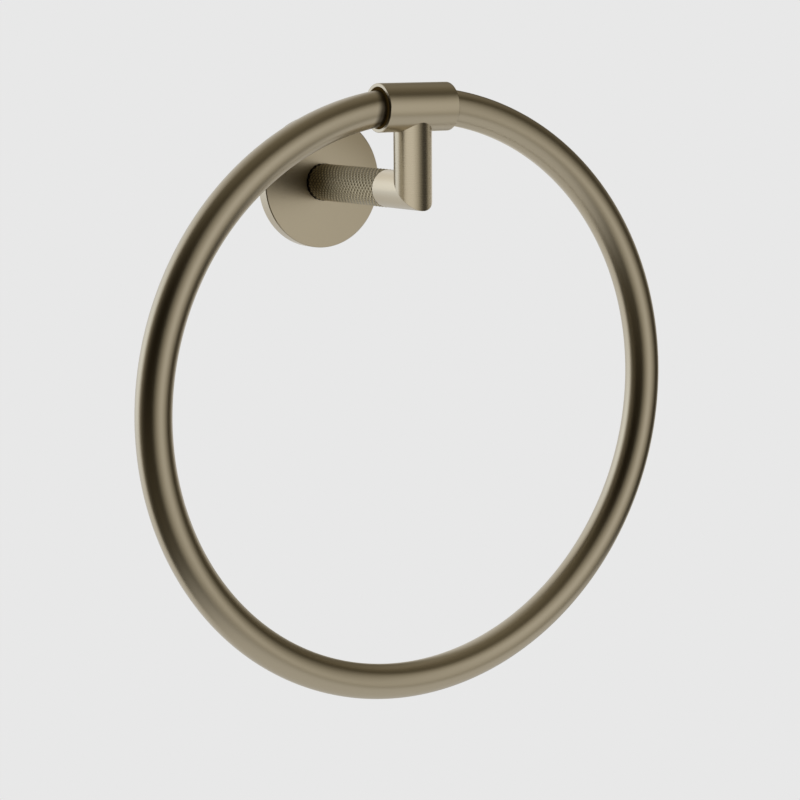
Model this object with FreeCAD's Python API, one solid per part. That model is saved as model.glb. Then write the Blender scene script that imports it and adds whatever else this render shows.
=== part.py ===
import FreeCAD, Part
import math
import os

# Towel ring for a wall. Millimetres, +Z up, the wall is the plane y = 0 and the
# object stands out from it towards -Y. The origin is on the wall, on the post's axis.

# The hanging ring
ring_mean_radius = 98.0
ring_bar_diameter = 12.0

# The sleeve that the ring passes through
sleeve_length = 27.2
sleeve_wall = 1.25
sleeve_edge = 0.25
ring_top_gap = 0.15
ring_bottom_gap = 0.6

# Where the sleeve's axis lies, from the wall and above the post's axis
wall_to_sleeve = 63.5
post_to_sleeve = 27.7

# The plain round bar of the stub and the riser
bar_diameter = 12.8

# The knurled post
post_end_from_wall = 48.0
knurl_proud_of_bar = 0.1
knurl_depth = 0.4
knurl_pitch = 2.0
knurl_count = 20

# The round wall plate, a shallow cover with a seat for the post in its front
plate_diameter = 46.6
plate_thickness = 5.0
plate_web = 1.6
plate_rim = 4.05
plate_edge = 0.3
post_seat_depth = 1.0
post_seat_gap = 0.2

# The bracket that is screwed to the wall, inside the plate
bracket_rim_gap = 0.3
bracket_face_gap = 0.1
bracket_undercut = 1.5
wall_hole_inset = 5.95
wall_hole_diameter = 4.5
wall_head_diameter = 8.4
bracket_centre_hole = 12.6

# The screw that holds the post to the plate from behind
post_screw_diameter = 5.0
post_screw_reach = 10.0
post_screw_head_diameter = 9.0
post_screw_head_setback = 0.4
post_screw_hex = 3.0
post_screw_hex_depth = 1.2

# The pin that keeps the riser upright
pin_diameter = 1.5
pin_offset = 4.4
pin_reach = 3.0

# The set screw that locks the plate on the bracket
set_screw_diameter = 3.0
set_screw_hex = 1.5
set_screw_hex_depth = 1.6
set_screw_from_wall = 2.0
set_screw_recess = 0.3
set_screw_tip_gap = 0.15

# The stud that joins the stub to the post
stud_diameter = 6.0
stud_reach = 7.0
stud_edge = 0.5

# Shared clearances, and how far a cutting shape runs past what it cuts
thread_gap = 0.05
bore_end_gap = 0.5
cut_overrun = 1.0

outward = FreeCAD.Vector(0, -1, 0)
wallward = FreeCAD.Vector(0, 1, 0)
up = FreeCAD.Vector(0, 0, 1)
down = FreeCAD.Vector(0, 0, -1)
along_x = FreeCAD.Vector(1, 0, 0)

# Worked out from the sizes above
ring_bar_radius = ring_bar_diameter / 2
bar_radius = bar_diameter / 2
half_sleeve = sleeve_length / 2
ring_rise_in_sleeve = ring_mean_radius - math.sqrt(ring_mean_radius ** 2 - half_sleeve ** 2)
sleeve_bore_radius = ring_bar_radius + (ring_rise_in_sleeve + ring_top_gap + ring_bottom_gap) / 2
sleeve_outer_radius = sleeve_bore_radius + sleeve_wall
ring_top_above_sleeve = sleeve_bore_radius - ring_bar_radius - ring_top_gap
ring_centre = FreeCAD.Vector(0, -wall_to_sleeve, post_to_sleeve + ring_top_above_sleeve - ring_mean_radius)

plate_radius = plate_diameter / 2
cavity_depth = plate_thickness - post_seat_depth - plate_web
cavity_radius = plate_radius - plate_rim
knurl_crest_radius = bar_radius + knurl_proud_of_bar
knurl_root_radius = knurl_crest_radius - knurl_depth
post_seat_radius = knurl_crest_radius + post_seat_gap
post_root_from_wall = plate_thickness - post_seat_depth

bracket_thickness = cavity_depth - bracket_face_gap
bracket_radius = cavity_radius - bracket_rim_gap
wall_hole_from_centre = bracket_radius - wall_hole_inset


def on_post_axis(from_wall):
    return FreeCAD.Vector(0, -from_wall, 0)


def post_rod(diameter, start, end):
    """A round rod on the post's axis between two distances from the wall."""
    return Part.makeCylinder(diameter / 2, end - start, on_post_axis(start), outward)


def hex_socket(across_flats, depth, mouth, direction):
    """A six-sided socket that goes in from its mouth along a direction."""
    corner_radius = across_flats / math.sqrt(3)
    side = direction.cross(along_x)
    corners = []
    for index in range(6):
        angle = math.radians(60 * index)
        across = along_x * (corner_radius * math.cos(angle))
        beside = side * (corner_radius * math.sin(angle))
        corners.append(mouth + across + beside)
    outline = Part.makePolygon(corners + corners[:1])
    return Part.Face(outline).extrude(direction * depth)


def turned(profile):
    """A solid turned about the post's axis from (radius, distance from wall) points."""
    points = [FreeCAD.Vector(radius, -from_wall, 0) for radius, from_wall in profile]
    face = Part.Face(Part.makePolygon(points + points[:1]))
    return face.revolve(FreeCAD.Vector(), wallward, 360)


def wall_bracket():
    """Steel disc, wider at its front, so that the set screw draws the plate to the wall."""
    disc = turned([
        (bracket_centre_hole / 2, 0),
        (bracket_radius - bracket_undercut, 0),
        (bracket_radius, bracket_thickness),
        (bracket_centre_hole / 2, bracket_thickness),
    ])
    hole_radius = wall_hole_diameter / 2
    head_radius = wall_head_diameter / 2
    sink_depth = head_radius - hole_radius
    for side in (-1, 1):
        place = FreeCAD.Vector(side * wall_hole_from_centre, 0, 0)
        front = place + outward * bracket_thickness
        hole = Part.makeCylinder(hole_radius, bracket_thickness, place, outward)
        sink = Part.makeCone(head_radius, hole_radius, sink_depth, front, wallward)
        disc = disc.cut(hole.fuse(sink))
    return disc


def wall_plate():
    """Round cover, open at the back, with the post's seat in front and a set-screw hole below."""
    plate = turned([
        (cavity_radius, 0),
        (plate_radius, 0),
        (plate_radius, plate_thickness - plate_edge),
        (plate_radius - plate_edge, plate_thickness),
        (post_seat_radius, plate_thickness),
        (post_seat_radius, post_root_from_wall),
        (post_screw_diameter / 2 + thread_gap, post_root_from_wall),
        (post_screw_diameter / 2 + thread_gap, cavity_depth),
        (cavity_radius, cavity_depth),
    ])
    screw_start = FreeCAD.Vector(0, -set_screw_from_wall, cut_overrun - cavity_radius)
    screw_hole_length = plate_rim + 2 * cut_overrun
    screw_hole = Part.makeCylinder(set_screw_diameter / 2 + thread_gap, screw_hole_length, screw_start, down)
    return plate.cut(screw_hole).cut(pin_bore(cavity_depth, post_root_from_wall))


def pin_bore(start, end):
    place = FreeCAD.Vector(0, -start, pin_offset)
    return Part.makeCylinder(pin_diameter / 2 + thread_gap, end - start, place, outward)


def locating_pin():
    start = cavity_depth
    place = FreeCAD.Vector(0, -start, pin_offset)
    length = post_root_from_wall - start + pin_reach
    return Part.makeCylinder(pin_diameter / 2, length, place, outward)


def plate_set_screw():
    """Hex socket set screw with a cone point, up through the plate's lower rim."""
    radius = set_screw_diameter / 2
    mouth_radius = plate_radius - set_screw_recess
    edge_radius = bracket_radius - bracket_undercut * (1 - set_screw_from_wall / bracket_thickness)
    tip_radius = edge_radius + set_screw_tip_gap
    mouth = FreeCAD.Vector(0, -set_screw_from_wall, -mouth_radius)
    body_length = mouth_radius - tip_radius - radius
    body = Part.makeCylinder(radius, body_length, mouth, up)
    point = Part.makeCone(radius, 0, radius, mouth + up * body_length, up)
    return body.fuse(point).removeSplitter().cut(hex_socket(set_screw_hex, set_screw_hex_depth, mouth, up))


def post_screw():
    """Low-head screw from the plate's hollow back into the post."""
    head = post_rod(post_screw_head_diameter, post_screw_head_setback, cavity_depth)
    shank = post_rod(post_screw_diameter, cavity_depth, post_root_from_wall + post_screw_reach)
    socket_mouth = on_post_axis(post_screw_head_setback)
    return head.fuse(shank).cut(hex_socket(post_screw_hex, post_screw_hex_depth, socket_mouth, outward))


def diamond_knurl(start, rows):
    """A bar covered in four-sided points, left between two sets of crossed grooves.

    The bar is a lattice of half-pitch steps along and around it. Where the grooves
    cross, the surface is at the root radius, and half a pitch away it is at a crest.
    """
    step = knurl_pitch / 2
    columns = 2 * knurl_count

    def lattice_point(row, column):
        crest = (row + column) % 2 == 1
        radius = knurl_crest_radius if crest else knurl_root_radius
        angle = 2 * math.pi * (column % columns) / columns
        return FreeCAD.Vector(radius * math.cos(angle), -start - row * step, radius * math.sin(angle))

    faces = []
    for row in range(2 * rows):
        for column in range(columns):
            here = lattice_point(row, column)
            beside = lattice_point(row, column + 1)
            ahead = lattice_point(row + 1, column)
            across = lattice_point(row + 1, column + 1)
            if (row + column) % 2 == 1:
                corners = [(here, beside, ahead), (across, ahead, beside)]
            else:
                corners = [(here, beside, across), (here, across, ahead)]
            for triangle in corners:
                faces.append(Part.Face(Part.makePolygon(list(triangle) + [triangle[0]])))
    for row in (0, 2 * rows):
        rim = [lattice_point(row, column) for column in range(columns + 1)]
        faces.append(Part.Face(Part.makePolygon(rim)))
    skin = Part.makeCompound(faces)
    skin.sewShape()
    bar = Part.makeSolid(skin.Shells[0])
    if bar.Volume < 0:
        bar.reverse()
    return bar


def knurled_post():
    """Knurled bar with a tapped hole in each end and a hole for the pin."""
    rows = round((post_end_from_wall - post_root_from_wall) / knurl_pitch)
    bar = diamond_knurl(post_root_from_wall, rows)
    end = post_root_from_wall + rows * knurl_pitch
    screw_end = post_root_from_wall + post_screw_reach + bore_end_gap
    screw_bore = post_rod(post_screw_diameter + 2 * thread_gap, post_root_from_wall, screw_end)
    stud_bore = post_rod(stud_diameter + 2 * thread_gap, end - stud_reach - bore_end_gap, end)
    pin_hole = pin_bore(post_root_from_wall, post_root_from_wall + pin_reach + bore_end_gap)
    return bar.cut(Part.makeCompound([screw_bore, stud_bore, pin_hole]))


def joining_stud():
    """Threaded rod, half in the post and half in the stub."""
    stud = post_rod(stud_diameter, post_end_from_wall - stud_reach, post_end_from_wall + stud_reach)
    return stud.makeChamfer(stud_edge, circular_edges(stud, stud_diameter / 2))


def circular_edges(shape, radius):
    """The full-circle edges of a given radius."""
    found = []
    for edge in shape.Edges:
        if edge.Curve.TypeId == "Part::GeomCircle" and abs(edge.Curve.Radius - radius) < 1e-6:
            found.append(edge)
    return found


def mitre_half(keep_post_side):
    """A block that covers one side of the 45 degree plane between the stub and the riser."""
    size = 4 * (wall_to_sleeve + post_to_sleeve)
    block = Part.makeBox(2 * size, size, 2 * size, FreeCAD.Vector(-size, 0, -size))
    if not keep_post_side:
        block.rotate(FreeCAD.Vector(), along_x, 180)
    block.rotate(FreeCAD.Vector(), along_x, -45)
    block.translate(FreeCAD.Vector(0, -wall_to_sleeve, 0))
    return block


def arm_stub():
    """Plain bar from the post to the mitre, tapped for the stud."""
    bar = post_rod(bar_diameter, post_end_from_wall, wall_to_sleeve + bar_radius)
    stud_bore_end = post_end_from_wall + stud_reach + bore_end_gap
    stud_bore = post_rod(stud_diameter + 2 * thread_gap, post_end_from_wall, stud_bore_end)
    return bar.common(mitre_half(True)).cut(stud_bore)


def riser():
    """Plain upright bar from the mitre to the saddle cut that fits round the sleeve."""
    foot = FreeCAD.Vector(0, -wall_to_sleeve, -bar_radius)
    bar = Part.makeCylinder(bar_radius, post_to_sleeve + bar_radius, foot, up)
    sleeve_start = FreeCAD.Vector(-sleeve_length, -wall_to_sleeve, post_to_sleeve)
    saddle = Part.makeCylinder(sleeve_outer_radius, 2 * sleeve_length, sleeve_start, along_x)
    return bar.common(mitre_half(False)).cut(saddle)


def ring_sleeve():
    """Short open tube, its outer and inner rims lightly rounded."""
    start = FreeCAD.Vector(-half_sleeve, -wall_to_sleeve, post_to_sleeve)
    outside = Part.makeCylinder(sleeve_outer_radius, sleeve_length, start, along_x)
    bore = Part.makeCylinder(sleeve_bore_radius, sleeve_length, start, along_x)
    tube = outside.cut(bore)
    rims = circular_edges(tube, sleeve_outer_radius) + circular_edges(tube, sleeve_bore_radius)
    return tube.makeFillet(sleeve_edge, rims)


def ring():
    """Closed round bar, free to swing in the sleeve."""
    return Part.makeTorus(ring_mean_radius, ring_bar_radius, ring_centre, wallward)


nodes = {
    "wall_bracket": wall_bracket,
    "wall_plate": wall_plate,
    "plate_set_screw": plate_set_screw,
    "post_screw": post_screw,
    "locating_pin": locating_pin,
    "knurled_post": knurled_post,
    "joining_stud": joining_stud,
    "arm_stub": arm_stub,
    "riser": riser,
    "ring_sleeve": ring_sleeve,
    "ring": ring,
}

os.makedirs("parts", exist_ok=True)
for name, make in nodes.items():
    shape = make()
    shape.exportStep(os.path.join("parts", name + ".step"))
    box = shape.BoundBox
    print(name, "volume", round(shape.Volume, 1), "mm3, valid", shape.isValid(), "faces", len(shape.Faces),
          "box", [round(value, 2) for value in (box.XMin, box.XMax, box.YMin, box.YMax, box.ZMin, box.ZMax)])
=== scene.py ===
import math

import bmesh
import bpy
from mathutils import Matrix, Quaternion, Vector


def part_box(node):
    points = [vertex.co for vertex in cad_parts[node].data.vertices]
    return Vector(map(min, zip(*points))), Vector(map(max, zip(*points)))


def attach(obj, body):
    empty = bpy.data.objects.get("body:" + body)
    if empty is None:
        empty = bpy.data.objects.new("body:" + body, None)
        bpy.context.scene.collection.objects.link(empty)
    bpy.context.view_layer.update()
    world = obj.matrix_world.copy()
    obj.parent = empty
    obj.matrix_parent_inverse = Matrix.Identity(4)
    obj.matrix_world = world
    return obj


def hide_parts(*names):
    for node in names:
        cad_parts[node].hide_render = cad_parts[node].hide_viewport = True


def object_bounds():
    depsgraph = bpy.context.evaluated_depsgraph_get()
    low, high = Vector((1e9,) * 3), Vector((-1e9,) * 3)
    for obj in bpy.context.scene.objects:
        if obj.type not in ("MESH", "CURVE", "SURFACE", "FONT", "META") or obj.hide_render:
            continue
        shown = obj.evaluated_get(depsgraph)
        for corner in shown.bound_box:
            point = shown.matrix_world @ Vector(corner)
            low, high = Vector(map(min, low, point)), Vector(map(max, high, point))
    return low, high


# Wall-hung towel ring in warm satin nickel. Metres, +Z up. The wall is y = 0, the object stands out
# from it towards -Y, and the photograph is taken from the left front.

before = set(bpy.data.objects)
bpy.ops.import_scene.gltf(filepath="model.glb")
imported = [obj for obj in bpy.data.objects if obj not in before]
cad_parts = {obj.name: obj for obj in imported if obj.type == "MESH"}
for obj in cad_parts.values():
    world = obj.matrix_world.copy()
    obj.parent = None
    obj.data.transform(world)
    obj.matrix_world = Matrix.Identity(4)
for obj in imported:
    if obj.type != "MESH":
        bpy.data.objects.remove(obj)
cadLow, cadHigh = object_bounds()
print("frame loaded:", ", ".join(sorted(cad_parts)))


# A value in a node tree: maths on it adds Math nodes
class Value:
    def __init__(self, tree, socket):
        self.tree = tree
        self.socket = socket

    def math(self, operation, *others):
        return self.tree.node("ShaderNodeMath", {"operation": operation}, [self, *others])

    def __add__(self, other):
        return self.math("ADD", other)

    def __sub__(self, other):
        return self.math("SUBTRACT", other)

    def __rsub__(self, other):
        return self.tree.node("ShaderNodeMath", {"operation": "SUBTRACT"}, [other, self])

    def __mul__(self, other):
        return self.math("MULTIPLY", other)

    def __truediv__(self, other):
        return self.math("DIVIDE", other)

    __radd__ = __add__
    __rmul__ = __mul__


# A node tree: one method adds every kind of node
class Tree:
    def __init__(self, nodeTree):
        self.nodeTree = nodeTree
        self.nodeTree.nodes.clear()

    def node(self, kind, settings=None, inputs=(), output=0):
        made = self.nodeTree.nodes.new(kind)
        for name, setting in (settings or {}).items():
            setattr(made, name, setting)
        pairs = inputs.items() if isinstance(inputs, dict) else enumerate(inputs)
        for key, given in pairs:
            if isinstance(given, Value):
                self.nodeTree.links.new(given.socket, made.inputs[key])
            else:
                made.inputs[key].default_value = given
        return Value(self, made.outputs[output] if made.outputs else None)

    # 0 below low, 1 above high and a smooth step between
    def softStep(self, value, low, high):
        return self.node("ShaderNodeMapRange", {"interpolation_type": "SMOOTHSTEP"}, [value, low, high])

    # The colours of a Mix node are its inputs 6 and 7 and its output 2
    def mixColour(self, factor, first, second):
        return self.node("ShaderNodeMix", {"data_type": "RGBA"}, {0: factor, 6: first, 7: second}, output=2)

    # The place on a piece, in its Object coordinates
    def place(self):
        return self.node("ShaderNodeTexCoord", output=3)

    def xyz(self, vector):
        parts = self.node("ShaderNodeSeparateXYZ", inputs=[vector]).socket.node
        return [Value(self, parts.outputs[axis]) for axis in range(3)]


def newMaterial(name):
    material = bpy.data.materials.new(name)
    material.use_nodes = True
    return material, Tree(material.node_tree)


def addObject(name, data):
    made = bpy.data.objects.new(name, data)
    bpy.context.scene.collection.objects.link(made)
    return made


# Studio: pale backdrop, soft light from behind, almost black and a little brown on the camera's side.
# Bearings are in degrees from straight out of the wall towards +X, heights above the horizon.
# Light is tinted by its strength: dim, then plain at dimTo, then bright at brightTo.
studio = {
    "backdrop": 0.807,
    "darkSide": (0.006, 0.0035, 0.0005),
    "dimTint": (1.16, 1.03, 0.74, 1),
    "plainTint": (1.0, 1.0, 1.0, 1),
    "brightTint": (0.93, 1.0, 1.12, 1),
    "dimTo": 0.6, "brightTo": 1.3,
    "topLight": 0.175, "topFade": (20, 90),
    "back": {"strength": 0.75, "bearing": -168, "sides": (37, 52), "top": (9, 95)},
    "patches": {
        "hot": {"strength": 0.61, "bearing": -144, "height": 7.3, "spread": 20.8},
        "rim": {"strength": 0.21, "bearing": 132, "height": 45, "spread": 22},
        "edge": {"strength": 0.06, "bearing": 92, "height": 8, "spread": 18},
        "fill": {"strength": 0.06, "bearing": -60, "height": -42, "spread": 24},
    },
    "floorDepth": 1.3, "floorRadius": 3.0, "floorSteps": 96,
    "glowLight": 0.65, "glowCentre": (0.9, -0.2), "glowFade": (1.2, 2.3),
}


# The direction at a bearing and a height
def aimAt(bearing, height):
    turn = math.radians(bearing)
    lift = math.radians(height)
    return Vector((math.sin(turn) * math.cos(lift), -math.cos(turn) * math.cos(lift), math.sin(lift)))


# A panel of light round a bearing, fading out at its sides and its top
def panelLight(tree, x, y, height, strength, bearing, sides, top):
    turn = math.radians(bearing)
    ahead = x * math.sin(turn) + y * -math.cos(turn)
    aside = x * math.cos(turn) + y * math.sin(turn)
    swing = aside.math("ARCTAN2", ahead).math("ABSOLUTE").math("DEGREES")
    return strength * (1 - tree.softStep(swing, *sides)) * (1 - tree.softStep(height, *top))


# A round patch of light that falls off like a bell curve
def patchLight(tree, direction, strength, bearing, height, spread):
    centre = aimAt(bearing, height)
    facing = tree.node("ShaderNodeVectorMath", {"operation": "DOT_PRODUCT"}, [direction, centre], output=1)
    away = facing.math("ARCCOSINE").math("DEGREES") / spread
    return strength * (away * away * -0.5).math("EXPONENT")


# The metal sees these lights, and the camera sees the plain backdrop
def lightStudio(look):
    world = bpy.data.worlds.new("studioLight")
    bpy.context.scene.world = world
    world.use_nodes = True
    tree = Tree(world.node_tree)
    direction = tree.node("ShaderNodeTexCoord")
    x, y, z = tree.xyz(direction)
    height = z.math("ARCSINE").math("DEGREES")
    back = panelLight(tree, x, y, height, **look["back"])
    light = back + look["topLight"] * tree.softStep(height, *look["topFade"])
    for patch in look["patches"].values():
        light = light + patchLight(tree, direction, **patch)
    tint = tree.mixColour(tree.softStep(light, 0, look["dimTo"]), look["dimTint"], look["plainTint"])
    bright = tree.softStep(light, look["dimTo"], look["brightTo"])
    tint = tree.mixColour(bright, tint, look["brightTint"])
    tinted = tree.node("ShaderNodeVectorMath", {"operation": "SCALE"}, {0: tint, "Scale": light})
    warm = tree.node("ShaderNodeVectorMath", {"operation": "ADD"}, [tinted, look["darkSide"]])
    seen = tree.node("ShaderNodeLightPath")
    pale = (look["backdrop"],) * 3 + (1,)
    background = tree.node("ShaderNodeBackground", inputs=[tree.mixColour(seen, warm, pale), 1.0])
    tree.node("ShaderNodeOutputWorld", inputs=[background])


# The camera sees an even floor, and the metal sees a glow on it that fades out
def layFloor(look):
    mesh = bpy.data.meshes.new("floor")
    build = bmesh.new()
    bmesh.ops.create_circle(build, cap_ends=True, segments=look["floorSteps"], radius=look["floorRadius"])
    bmesh.ops.translate(build, vec=(0, 0, cadLow.z - look["floorDepth"]), verts=build.verts)
    build.to_mesh(mesh)
    build.free()
    floor = addObject("floor", mesh)
    material, tree = newMaterial("paleFloor")
    seen = tree.node("ShaderNodeLightPath")
    x, y, z = tree.xyz(tree.place())
    aside = x - look["glowCentre"][0]
    ahead = y - look["glowCentre"][1]
    near = 1 - tree.softStep((aside * aside + ahead * ahead).math("SQRT"), *look["glowFade"])
    strength = seen * look["backdrop"] + (1 - seen) * look["glowLight"]
    glow = tree.node("ShaderNodeEmission", inputs=[look["plainTint"], strength])
    clear = tree.node("ShaderNodeBsdfTransparent")
    mixed = tree.node("ShaderNodeMixShader", inputs=[seen.math("MAXIMUM", near), clear, glow])
    tree.node("ShaderNodeOutputMaterial", inputs=[mixed])
    mesh.materials.append(material)


lightStudio(studio)
layFloor(studio)
print("studio lit")

# Camera, at the photograph's angle, in metres, degrees and millimetres of lens
view = {
    "place": (-0.418999, -0.708467, 0.052031),
    "aim": (0.028598, -0.010061, -0.080204),
    "roll": -0.356,
    "lens": 103.67,
    "sensor": 36.0,
}


def placeCamera(look):
    camera = addObject("camera", bpy.data.cameras.new("camera"))
    camera.data.lens = look["lens"]
    camera.data.sensor_width = look["sensor"]
    camera.location = look["place"]
    toward = Vector(look["aim"]) - Vector(look["place"])
    roll = Quaternion((0, 0, 1), math.radians(look["roll"]))
    camera.rotation_euler = (toward.to_track_quat("-Z", "Y") @ roll).to_euler()
    bpy.context.scene.camera = camera


placeCamera(view)
bpy.context.scene.view_settings.view_transform = "Standard"

# Satin nickel. Its grain is fine hairlines left by the brushing wheel, this far apart and this long.
# Tones are its darkest and lightest, as shares of its colour.
nickel = {
    "colour": (0.509, 0.443, 0.323, 1),
    "tones": (0.6, 1.4),
    "toneSpread": 0.022,
    "toneSize": 0.018,
    "roughness": 0.28,
    "roughnessSpread": 0.015,
    "lineSpacing": 0.00014,
    "lineLength": 0.006,
    "lineHeight": 0.0000013,
    # The colour that painted shade darkens the metal towards
    "paintedShadeColour": (0.05, 0.038, 0.022, 1),
    # The colour of the painted glow that stands for bounce light
    "paintedBounceColour": (0.018, 0.0115, 0.003, 1),
}


# The metal's colour, made darker or lighter by a value round 0
def tonedColour(tree, look, shift):
    darkest, lightest = [
        tuple(min(1, channel * tone) for channel in look["colour"][:3]) + (1,) for tone in look["tones"]
    ]
    return tree.mixColour(shift + 0.5, darkest, lightest)


# Two values from 0 to 1 may be added: painted shade darkens the metal in grooves and beside the sleeve's
# mouth, and a painted glow stands for the brown bounce light left between the bar and the sleeve's bore
def satinNickel(name, grainOf, look=nickel, paintedShadeOf=None, paintedBounceOf=None):
    material, tree = newMaterial(name)
    across, along = grainOf(tree)
    lines = tree.node("ShaderNodeCombineXYZ", inputs=[
        across / look["lineSpacing"], along / look["lineLength"], 0.0,
    ])
    hairline = tree.node("ShaderNodeTexNoise", inputs={
        "Vector": lines, "Scale": 1.0, "Detail": 3.0, "Roughness": 0.6,
    })
    cloud = tree.node("ShaderNodeTexNoise", inputs={
        "Vector": tree.place(), "Scale": 1 / look["toneSize"], "Detail": 2.0,
    })
    shift = (hairline - 0.5) * look["toneSpread"] + (cloud - 0.5) * look["toneSpread"]
    colour = tonedColour(tree, look, shift)
    # Painted shade: the colour is mixed towards the shade colour
    if paintedShadeOf:
        colour = tree.mixColour(paintedShadeOf(tree), colour, look["paintedShadeColour"])
    bump = tree.node("ShaderNodeBump", inputs={
        "Strength": 1.0, "Distance": look["lineHeight"], "Height": hairline,
    })
    sockets = {
        "Base Color": colour,
        "Metallic": 1.0,
        "Roughness": look["roughness"] + (hairline - 0.5) * look["roughnessSpread"],
        "Normal": bump,
    }
    # Painted glow: an emission that stands for bounce light, though the part is no lamp
    if paintedBounceOf:
        sockets["Emission Color"] = tree.mixColour(paintedBounceOf(tree), (0, 0, 0, 1), look["paintedBounceColour"])
        sockets["Emission Strength"] = 1.0
    metal = tree.node("ShaderNodeBsdfPrincipled", inputs=sockets)
    tree.node("ShaderNodeOutputMaterial", inputs=[metal])
    return material


# The place along an axis, and the turn and the distance round a centre on the other two axes
def barPlace(tree, axis, centre):
    place = tree.xyz(tree.place())
    others = [index for index in range(3) if index != axis]
    first = place[others[0]] - centre[others[0]]
    second = place[others[1]] - centre[others[1]]
    radius = (first * first + second * second).math("SQRT")
    turn = second.math("ARCTAN2", first)
    return place[axis], turn, radius


# Hairlines round a straight bar
def barGrain(axis, centre):
    def grain(tree):
        along, turn, radius = barPlace(tree, axis, centre)
        return along, turn * radius
    return grain


# Gives a finished mesh its object, finish and body, in place of CAD nodes
def addPiece(name, mesh, material, body, replaced=()):
    mesh.materials.clear()
    mesh.materials.append(material)
    piece = addObject(name, mesh)
    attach(piece, body)
    if replaced:
        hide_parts(*replaced)
    return piece


def dressNode(node, material):
    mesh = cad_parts[node].data
    mesh.materials.clear()
    mesh.materials.append(material)


# Starts a geometry tree: named inputs with their kinds, and a geometry output
def geometryTree(name, kinds):
    group = bpy.data.node_groups.new(name, "GeometryNodeTree")
    identifiers = {}
    for title, kind in kinds.items():
        identifiers[title] = group.interface.new_socket(title, in_out="INPUT", socket_type=kind).identifier
    group.interface.new_socket("Geometry", in_out="OUTPUT", socket_type="NodeSocketGeometry")
    tree = Tree(group)
    source = tree.node("NodeGroupInput").socket.node
    given = {title: Value(tree, source.outputs[title]) for title in kinds}
    return tree, given, identifiers


def finishTree(tree, geometry, material):
    smooth = tree.node("GeometryNodeSetShadeSmooth", inputs={"Geometry": geometry, "Shade Smooth": True})
    whole = tree.node("GeometryNodeRealizeInstances", inputs={"Geometry": smooth})
    painted = tree.node("GeometryNodeSetMaterial", inputs={"Geometry": whole, "Material": material})
    tree.node("NodeGroupOutput", inputs=[painted])


# Runs a geometry tree once and keeps its result as a plain mesh
def meshFromTree(name, tree, identifiers, values):
    holder = addObject(name + "Source", bpy.data.meshes.new(name + "Source"))
    modifier = holder.modifiers.new("build", "NODES")
    modifier.node_group = tree.nodeTree
    for title, value in values.items():
        modifier[identifiers[title]] = value
    return plainMesh(holder, name)


# Applies an object's modifiers to a plain mesh and removes the object
def plainMesh(holder, name):
    bpy.context.view_layer.update()
    graph = bpy.context.evaluated_depsgraph_get()
    mesh = bpy.data.meshes.new_from_object(holder.evaluated_get(graph), depsgraph=graph)
    mesh.name = name
    holder.modifiers.clear()
    bpy.data.objects.remove(holder)
    return mesh


# The sleeve keeps its CAD mesh. A painted glow in its bore, standing for brown bounce light, fades out just
# past its rims' inner edge
sleeveLook = {"paintedBounceFade": (0.00690, 0.00715)}
sleeveLow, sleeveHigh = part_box("ring_sleeve")
sleeveAxis = (sleeveLow + sleeveHigh) / 2
sleeveRadius = (sleeveHigh.z - sleeveLow.z) / 2


def paintedSleeveBounce(tree):
    along, turn, radius = barPlace(tree, 0, sleeveAxis)
    return 1 - tree.softStep(radius, *sleeveLook["paintedBounceFade"])


dressNode("ring_sleeve", satinNickel("sleeveNickel", barGrain(0, sleeveAxis), paintedBounceOf=paintedSleeveBounce))


# The ring: a round bar swept round a circle
ringLook = {
    "ringSteps": 360, "barSteps": 64,
    # The shade values size a painted shade on the bar beside the sleeve's left mouth
    "shade": 0.92, "shadeFade": (0.0014, 0.0038), "shadeSlant": 0.2,
    # This sizes where the painted glow on the bar fades out
    "paintedBounceFade": 0.0005,
}
ringLow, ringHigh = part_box("ring")
ringCentre = (ringLow + ringHigh) / 2
ringBarRadius = (ringHigh.y - ringLow.y) / 2
ringMeanRadius = (ringHigh.x - ringLow.x) / 2 - ringBarRadius


def sweptRing(look, material):
    tree, given, identifiers = geometryTree("sweptRing", {
        "Ring Radius": "NodeSocketFloat",
        "Bar Radius": "NodeSocketFloat",
        "Ring Steps": "NodeSocketInt",
        "Bar Steps": "NodeSocketInt",
        "Centre": "NodeSocketVector",
        "Finish": "NodeSocketMaterial",
    })
    path = tree.node("GeometryNodeCurvePrimitiveCircle", inputs={
        "Resolution": given["Ring Steps"], "Radius": given["Ring Radius"],
    })
    section = tree.node("GeometryNodeCurvePrimitiveCircle", inputs={
        "Resolution": given["Bar Steps"], "Radius": given["Bar Radius"],
    })
    bar = tree.node("GeometryNodeCurveToMesh", inputs={"Curve": path, "Profile Curve": section})
    placed = tree.node("GeometryNodeTransform", inputs={
        "Geometry": bar, "Translation": given["Centre"], "Rotation": (math.radians(90), 0, 0),
    })
    finishTree(tree, placed, given["Finish"])
    return meshFromTree("hangingRing", tree, identifiers, {
        "Ring Radius": ringMeanRadius,
        "Bar Radius": ringBarRadius,
        "Ring Steps": look["ringSteps"],
        "Bar Steps": look["barSteps"],
        "Centre": ringCentre,
        "Finish": material,
    })


# Hairlines run round the bar, so they're measured by the turn round the ring from its lowest point
def ringGrain(tree):
    x, y, z = tree.xyz(tree.place())
    below = ringCentre.z - z
    turn = (x - ringCentre.x).math("ARCTAN2", below)
    reach = (x * x + below * below).math("SQRT") - ringMeanRadius
    section = reach.math("ARCTAN2", y - ringCentre.y)
    return turn * ringMeanRadius, section * ringBarRadius


# The place from left to right, the height, and a value that is 1 at the ring's top
def ringPlace(tree):
    x, y, z = tree.xyz(tree.place())
    return x, z, tree.softStep(z, ringCentre.z, ringHigh.z)


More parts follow.
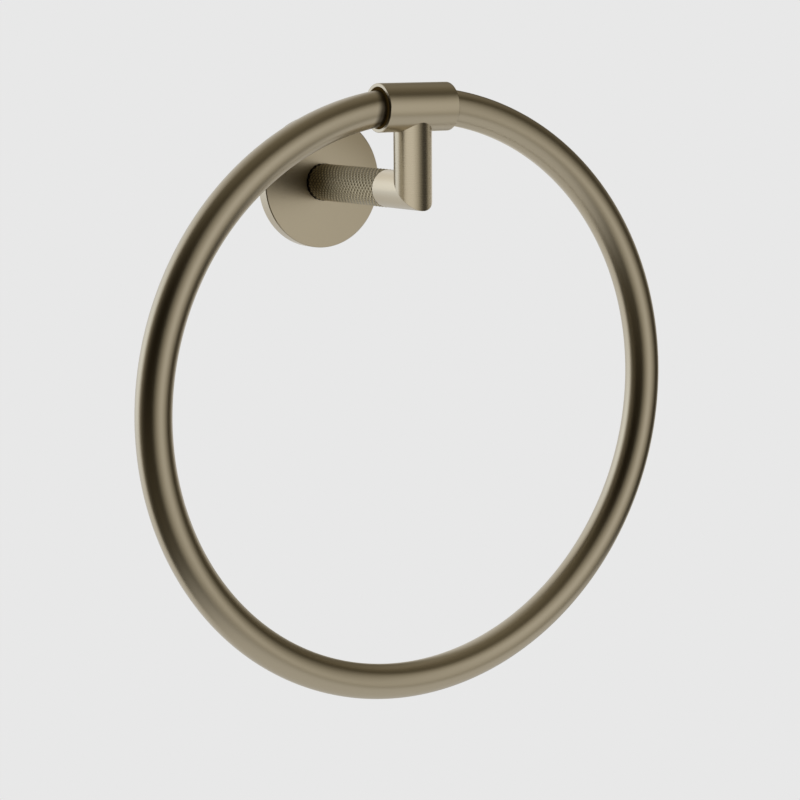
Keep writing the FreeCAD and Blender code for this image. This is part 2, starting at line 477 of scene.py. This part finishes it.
# Painted shade: the bar is darker where it leaves the sleeve's left mouth, and further out on its underside
def paintedRingShade(tree):
    x, z, atTop = ringPlace(tree)
    near, far = ringLook["shadeFade"]
    out = (z - (ringHigh.z - ringBarRadius)) * ringLook["shadeSlant"] - x
    beside = 1 - tree.softStep(out, sleeveHigh.x + near, sleeveHigh.x + far)
    onLeft = 1 - tree.softStep(x, 0, sleeveHigh.x)
    return beside * onLeft * atTop * ringLook["shade"]


# A painted glow, standing for the sleeve's brown bounce light, shows on the bar as far as both its mouths
def paintedRingBounce(tree):
    x, z, atTop = ringPlace(tree)
    fade = ringLook["paintedBounceFade"]
    return (1 - tree.softStep(x.math("ABSOLUTE"), sleeveHigh.x - fade, sleeveHigh.x + fade)) * atTop


ringNickel = satinNickel("ringNickel", ringGrain, paintedShadeOf=paintedRingShade, paintedBounceOf=paintedRingBounce)
addPiece("hangingRing", sweptRing(ringLook, ringNickel), ringNickel, "ring", ["ring"])
print("ring swept")

# Blind bores, for the screw from the plate and for the stud between the post and the stub
screwBore = {"radius": 0.00255, "depth": 0.0105}
studBore = {"radius": 0.00305, "depth": 0.0075}


# Closes one end of a bar along Y with a flat rim and a bore that goes in towards +Y or -Y
def boreEnd(build, rim, bore, inward):
    for edge in rim:
        edge.smooth = False
    loop = rim
    for reach in (0, inward * bore["depth"]):
        grown = bmesh.ops.extrude_edge_only(build, edges=loop)["geom"]
        loop = [part for part in grown if isinstance(part, bmesh.types.BMEdge)]
        loop = [edge for edge in loop if edge.is_boundary]
        for vertex in {vertex for edge in loop for vertex in edge.verts}:
            shrink = bore["radius"] / math.hypot(vertex.co.x, vertex.co.z)
            vertex.co = (vertex.co.x * shrink, vertex.co.y + reach, vertex.co.z * shrink)
        for edge in loop:
            edge.smooth = False
    bmesh.ops.edgeloop_fill(build, edges=loop)


# The knurled post: a bar in a lattice of steps along and round it, cut by two sets of crossed grooves.
# Fineness is the mesh steps in one lattice step, and a point is flat above flatFrom of its height.
knurlLook = {
    "rows": 44,
    "columns": 40,
    "fineness": 4,
    "depth": 0.0004,
    "flatFrom": 0.8,
    "weld": 0.00001,
    "colour": (0.525, 0.45, 0.295, 1),
    # Painted shade: how dark the grooves get, and where the joint with the plate goes dark
    "paintedGrooveShade": 0.68,
    "paintedRootShade": (-0.0068, -0.0056),
}
postLow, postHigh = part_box("knurled_post")


def knurledSkin(look, material):
    tree, given, identifiers = geometryTree("knurledSkin", {
        "Rows": "NodeSocketInt",
        "Columns": "NodeSocketInt",
        "Fineness": "NodeSocketInt",
        "Row Step": "NodeSocketFloat",
        "Root Radius": "NodeSocketFloat",
        "Depth": "NodeSocketFloat",
        "Flat From": "NodeSocketFloat",
        "Wall End": "NodeSocketFloat",
        "Weld": "NodeSocketFloat",
        "Finish": "NodeSocketMaterial",
    })
    rows, columns = given["Rows"], given["Columns"]
    grid = tree.node("GeometryNodeMeshGrid", inputs={
        "Size X": rows, "Size Y": columns,
        "Vertices X": rows * given["Fineness"] + 1, "Vertices Y": columns * given["Fineness"] + 1,
    })
    x, y, z = tree.xyz(tree.node("GeometryNodeInputPosition"))
    row = x + rows * 0.5
    column = y + columns * 0.5
    height = (row + column).math("PINGPONG", 1).math("MINIMUM", (row - column).math("PINGPONG", 1))
    slope = (height / given["Flat From"]).math("MINIMUM", 1)
    radius = given["Root Radius"] + given["Depth"] * slope
    turn = column / columns * (-2 * math.pi)
    place = tree.node("ShaderNodeCombineXYZ", inputs=[
        radius * turn.math("COSINE"), given["Wall End"] - row * given["Row Step"], radius * turn.math("SINE"),
    ])
    wrapped = tree.node("GeometryNodeSetPosition", inputs={"Geometry": grid, "Position": place})
    joined = tree.node("GeometryNodeMergeByDistance", inputs={
        "Geometry": wrapped, "Distance": given["Weld"],
    })
    finishTree(tree, joined, given["Finish"])
    return meshFromTree("knurledSkin", tree, identifiers, {
        "Rows": look["rows"],
        "Columns": look["columns"],
        "Fineness": look["fineness"],
        "Row Step": (postHigh.y - postLow.y) / look["rows"],
        "Root Radius": postHigh.x - look["depth"],
        "Depth": look["depth"],
        "Flat From": look["flatFrom"],
        "Wall End": postHigh.y,
        "Weld": look["weld"],
        "Finish": material,
    })


def knurledPost(look, material):
    mesh = knurledSkin(look, material)
    build = bmesh.new()
    build.from_mesh(mesh)
    rims = [edge for edge in build.edges if edge.is_boundary]
    middle = (postLow.y + postHigh.y) / 2
    boreEnd(build, [edge for edge in rims if edge.verts[0].co.y > middle], screwBore, -1)
    boreEnd(build, [edge for edge in rims if edge.verts[0].co.y < middle], studBore, 1)
    bmesh.ops.recalc_face_normals(build, faces=build.faces)
    build.to_mesh(mesh)
    build.free()
    return mesh


# Painted shade: the grooves are darker towards their bottoms, and so is the joint with the plate
def paintedGrooveShade(tree):
    along, turn, radius = barPlace(tree, 1, (0, 0, 0))
    low = postHigh.x - knurlLook["depth"]
    groove = (1 - tree.softStep(radius, low, postHigh.x)) * knurlLook["paintedGrooveShade"]
    return groove.math("MAXIMUM", tree.softStep(along, *knurlLook["paintedRootShade"]))


knurlMetal = dict(nickel, colour=knurlLook["colour"])
# The knurl carries painted shade in its grooves and at its joint with the plate
knurlNickel = satinNickel("knurlNickel", barGrain(1, (0, 0, 0)), knurlMetal, paintedGrooveShade)
postMesh = knurledPost(knurlLook, knurlNickel)
post = addPiece("knurledPost", postMesh, knurlNickel, "fixture", ["knurled_post"])
print("post knurled")

# The stub and the riser: plain round bars, each cut at its two ends, with their edges broken
barLook = {"steps": 96, "edge": 0.00012, "edgeSteps": 2, "edgeAngle": 35}
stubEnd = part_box("arm_stub")[1]
barRadius = stubEnd.x


# Joins the left and right halves of a round loop of vertices by strips
def capLoop(build, loop):
    steps = len(loop)
    half = steps // 2
    order = [(index + steps - half // 2) % steps for index in range(half)]
    right = [loop[index] for index in order]
    left = [loop[(half - 1 - index) % steps] for index in order]
    for index in range(half - 1):
        build.faces.new((right[index], right[index + 1], left[index + 1], left[index]))


# A bar between two ends given as functions of the place across it. The start is capped, and so is
# the end unless it gets a bore.
def cutBar(name, look, startOf, endOf, placeOf, bored):
    build = bmesh.new()
    steps = look["steps"]
    starts = []
    ends = []
    for index in range(steps):
        turn = 2 * math.pi * (index + 0.5) / steps
        side = barRadius * math.cos(turn)
        across = barRadius * math.sin(turn)
        starts.append(build.verts.new(placeOf(side, across, startOf(across))))
        ends.append(build.verts.new(placeOf(side, across, endOf(across))))
    for index in range(steps):
        after = (index + 1) % steps
        build.faces.new((starts[index], starts[after], ends[after], ends[index]))
    capLoop(build, starts)
    if bored:
        boreEnd(build, [edge for edge in build.edges if edge.is_boundary], studBore, -1)
    else:
        capLoop(build, ends)
    bmesh.ops.recalc_face_normals(build, faces=build.faces)
    for face in build.faces:
        face.smooth = True
    mesh = bpy.data.meshes.new(name)
    build.to_mesh(mesh)
    build.free()
    return bevelled(mesh, look)


# Breaks the sharp edges of a mesh
def bevelled(mesh, look):
    holder = addObject(mesh.name + "Source", mesh)
    bevel = holder.modifiers.new("edge", "BEVEL")
    bevel.width = look["edge"]
    bevel.segments = look["edgeSteps"]
    bevel.limit_method = "ANGLE"
    bevel.angle_limit = math.radians(look["edgeAngle"])
    bevel.harden_normals = True
    return plainMesh(holder, mesh.name)


# Across is towards the wall for the riser and up for the stub, and both end at the same 45 degree cut
def riserPlace(side, across, along):
    return (side, sleeveAxis.y + across, along)


def stubPlace(side, across, along):
    return (side, along, across)


def mitreOnRiser(across):
    return across


def mitreOnStub(across):
    return sleeveAxis.y + across


def saddle(across):
    return sleeveAxis.z - math.sqrt(sleeveRadius ** 2 - across ** 2)


def stubFlat(across):
    return stubEnd.y


riserMetal = dict(nickel, lineHeight=0.000004, roughnessSpread=0.06)  # its hairlines show a little more
riserNickel = satinNickel("riserNickel", barGrain(2, sleeveAxis), riserMetal)
stubNickel = satinNickel("stubNickel", barGrain(1, (0, 0, 0)))
stubMesh = cutBar("stubBar", barLook, mitreOnStub, stubFlat, stubPlace, True)
riserMesh = cutBar("riserBar", barLook, mitreOnRiser, saddle, riserPlace, False)
stub = addPiece("stubBar", stubMesh, stubNickel, "fixture", ["arm_stub"])
riser = addPiece("riserBar", riserMesh, riserNickel, "fixture", ["riser"])
print("stub and riser cut")


# Concentric hairlines on the plate's face, by its distance from the post's axis
def plateGrain(tree):
    along, turn, radius = barPlace(tree, 1, (0, 0, 0))
    return radius + along, turn * radius


dressNode("wall_plate", satinNickel("plateNickel", plateGrain))

# Hidden fixings: plated steel with a faint crystalline bloom, and black oxide
zinc = {
    "colour": (0.60, 0.61, 0.63, 1), "tones": (0.5, 1.5),
    "metallic": 1.0, "roughness": 0.36, "bloom": 0.10, "bloomSize": 0.0012,
}
blackOxide = {
    "colour": (0.022, 0.022, 0.024, 1), "tones": (0.5, 1.5),
    "metallic": 0.7, "roughness": 0.48, "bloom": 0.08, "bloomSize": 0.0008,
}


def platedSteel(name, look):
    material, tree = newMaterial(name)
    bloom = tree.node("ShaderNodeTexNoise", inputs={
        "Vector": tree.place(), "Scale": 1 / look["bloomSize"], "Detail": 4.0,
    })
    shift = (bloom - 0.5) * look["bloom"]
    metal = tree.node("ShaderNodeBsdfPrincipled", inputs={
        "Base Color": tonedColour(tree, look, shift),
        "Metallic": look["metallic"],
        "Roughness": look["roughness"] + shift,
    })
    tree.node("ShaderNodeOutputMaterial", inputs=[metal])
    return material


zincPlate = platedSteel("zincPlate", zinc)
for hidden in ("wall_bracket", "post_screw", "locating_pin", "joining_stud"):
    dressNode(hidden, zincPlate)
dressNode("plate_set_screw", platedSteel("blackOxide", blackOxide))
print("plate and fixings finished")

# Softboxes. Light is the brightness that a mirror would show, bearings and heights are the studio's.
# Each is a stack of lamps that reach this many degrees to each side and up and down, so its edge fades out.
softboxes = {
    "front": {
        "light": 0.78, "bearing": 18.5, "height": 3, "distance": 3.0,
        "aside": (8, 18, 28, 37, 48), "upright": (15, 25, 33, 40, 46),
    },
    "face": {
        "light": 0.12, "bearing": 31, "height": -2, "distance": 2.6,
        "aside": (14, 26), "upright": (18, 30),
    },
    "stub": {
        "light": 0.34, "bearing": -174, "height": 27, "distance": 1.0,
        "aside": (24, 40), "upright": (22, 34),
    },
    "post": {
        "light": 0.75, "bearing": -158, "height": -9, "distance": 1.0,
        "aside": (16, 28), "upright": (12, 22),
    },
    "side": {
        "light": 0.74, "bearing": 125, "height": -13, "distance": 3.0,
        "aside": (5, 10, 16, 22, 30), "upright": (9, 13, 17, 22, 28),
    },
    "riserLeft": {
        "light": 0.95, "bearing": -48, "height": -5, "distance": 1.0,
        "aside": (25, 38, 49, 56, 63, 75), "upright": (40, 40, 45, 45, 50, 55),
    },
    "riserMiddle": {
        "light": 0.05, "bearing": 42, "height": -5, "distance": 1.0,
        "aside": (10, 22), "upright": (30, 40),
    },
    "riserRight": {
        "light": 0.82, "bearing": 117, "height": -5, "distance": 1.0,
        "aside": (27, 38, 48, 59), "upright": (45, 45, 45, 45),
    },
}
layerStep = 0.01  # each lamp of a stack stands this much further away
edgeWarmth = (0.05, 0.0, -0.14)  # the outer lamps are browner by this much, and the inner ones bluer


# Lights some pieces only, or all but some
def softbox(name, centre, pieces, state):
    look = softboxes[name]
    away = aimAt(look["bearing"], look["height"])
    group = bpy.data.collections.new(name + "Pieces")
    for piece in pieces:
        group.objects.link(piece)
    for entry in group.collection_objects:
        entry.light_linking.link_state = state
    last = len(look["aside"]) - 1
    for layer, reach in enumerate(zip(look["aside"], look["upright"])):
        data = bpy.data.lights.new(name, "AREA")
        data.shape = "RECTANGLE"
        data.color = [1 + warmth * (2 * layer / last - 1) for warmth in edgeWarmth]
        data.size, data.size_y = (2 * look["distance"] * math.tan(math.radians(angle)) for angle in reach)
        data.energy = look["light"] / len(look["aside"]) * math.pi * data.size * data.size_y
        lamp = addObject(name, data)
        lamp.location = centre + away * (look["distance"] + layerStep * layer)
        lamp.rotation_euler = away.to_track_quat("Z", "Y").to_euler()
        lamp.visible_camera = False
        lamp.light_linking.receiver_collection = group


middle = (cadLow + cadHigh) / 2
softbox("front", middle, [riser], "EXCLUDE")
softbox("face", sleeveAxis, [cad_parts["wall_plate"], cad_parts["ring_sleeve"]], "INCLUDE")
softbox("stub", sleeveAxis, [stub], "INCLUDE")
softbox("post", middle, [post], "INCLUDE")
softbox("side", middle, [riser, stub], "EXCLUDE")
softbox("riserLeft", sleeveAxis, [riser], "INCLUDE")
softbox("riserMiddle", sleeveAxis, [riser], "INCLUDE")
softbox("riserRight", sleeveAxis, [riser], "INCLUDE")
print("lamps placed")
